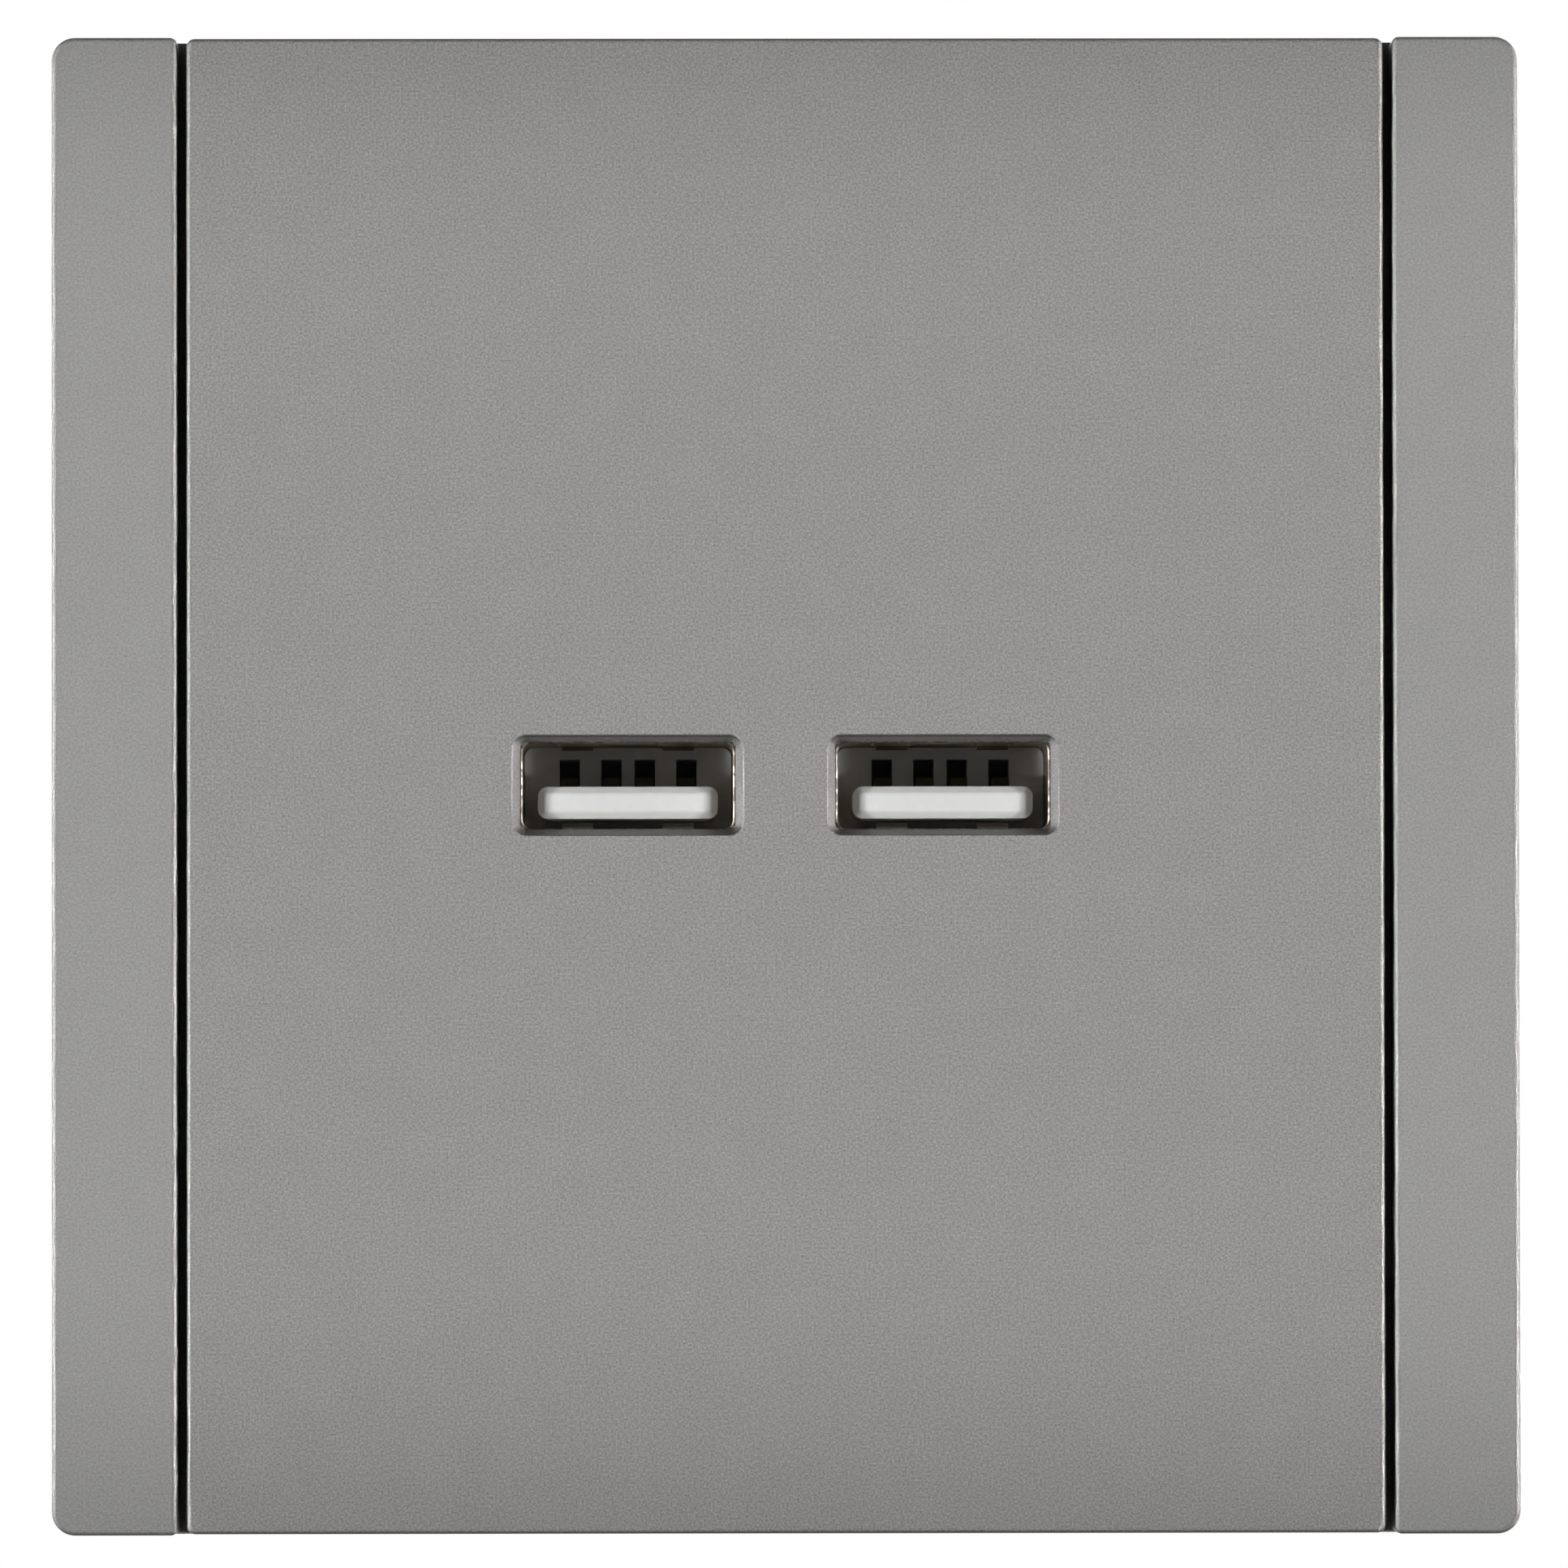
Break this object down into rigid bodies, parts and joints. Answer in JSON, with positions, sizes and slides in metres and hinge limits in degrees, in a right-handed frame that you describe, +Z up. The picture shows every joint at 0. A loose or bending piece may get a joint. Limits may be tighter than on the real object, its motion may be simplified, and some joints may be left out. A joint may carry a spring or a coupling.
{
  "type": "usb wall socket",
  "caption": "Flush wall socket with raised side strips and a middle plate whose bevelled openings take USB-A plugs, on a ringed insert with a power supply and screw terminals.",
  "frame": {"origin": "middle of the plate on the wall plane, between the box screws", "axes": "+X right as seen from the room, +Y into the wall, +Z up"},
  "size_m": [0.087, 0.0415, 0.0888],
  "materials": {
    "grey_lacquer": "metallic lacquer on a moulding, fine flake, satin",
    "zinc_steel": "stamped sheet, zinc plated",
    "case_plastic": "moulded, lightly eroded",
    "screw_steel": "turned and zinc plated",
    "board_laminate": "glass laminate with solder resist",
    "chip_moulding": "moulded epoxy",
    "capacitor_can": "sleeved can",
    "contact_metal": "plated",
    "ferrite": "pressed and ground",
    "bobbin_plastic": "moulded",
    "winding_tape": "copper winding under polyester tape",
    "film_box": "moulded box",
    "disc_coating": "dipped coating",
    "terminal_plastic": "moulded",
    "nickel_sheet": "folded sheet, nickel plated",
    "insulator_plastic": "moulded"
  },
  "bodies": {
    "socket": {"cover_plate": "grey_lacquer", "surround_frame": "grey_lacquer", "support_ring": "zinc_steel", "insert_front_cover": "case_plastic", "insert_rear_housing": "case_plastic", "insert_screws": "screw_steel", "usb_board": "board_laminate", "usb_controller_chip": "chip_moulding", "output_capacitors": "capacitor_can", "board_link_header": "chip_moulding", "board_link_pins": "contact_metal", "power_board": "board_laminate", "transformer_core": "ferrite", "transformer_bobbin": "bobbin_plastic", "transformer_winding": "winding_tape", "bulk_capacitors": "capacitor_can", "filter_choke": "ferrite", "suppression_capacitor": "film_box", "safety_capacitor": "disc_coating", "fuse": "bobbin_plastic", "varistor": "disc_coating", "bridge_rectifier": "chip_moulding", "switching_chip": "chip_moulding", "output_diode": "chip_moulding", "terminal_block": "terminal_plastic", "usb_shell_left": "nickel_sheet", "usb_insulator_left": "insulator_plastic", "usb_contacts_left": "contact_metal", "usb_shell_right": "nickel_sheet", "usb_insulator_right": "insulator_plastic", "usb_contacts_right": "contact_metal", "line_terminal_bar": "contact_metal", "neutral_terminal_bar": "contact_metal"},
    "line_screw": {"line_terminal_screw": "screw_steel"},
    "line_cage": {"line_terminal_cage": "zinc_steel"},
    "neutral_screw": {"neutral_terminal_screw": "screw_steel"},
    "neutral_cage": {"neutral_terminal_cage": "zinc_steel"}
  },
  "joints": [
    {"name": "line_screw_turn", "type": "hinge", "parent": "socket", "child": "line_screw", "pos_m": [-0.003, 0.024, -0.014], "axis": [0, -1, 0], "range_deg": [0, 1296]},
    {"name": "line_cage_rise", "type": "slide", "parent": "socket", "child": "line_cage", "axis": [0, 1, 0], "range_m": [0, 0.0018]},
    {"name": "neutral_screw_turn", "type": "hinge", "parent": "socket", "child": "neutral_screw", "pos_m": [0.003, 0.024, -0.014], "axis": [0, -1, 0], "range_deg": [0, 1296]},
    {"name": "neutral_cage_rise", "type": "slide", "parent": "socket", "child": "neutral_cage", "axis": [0, 1, 0], "range_m": [0, 0.0018]}
  ],
  "couplings": [
    {"joint": "line_screw_turn", "follows": "line_cage_rise", "rad_per_m": 12566},
    {"joint": "neutral_screw_turn", "follows": "neutral_cage_rise", "rad_per_m": 12566}
  ]
}
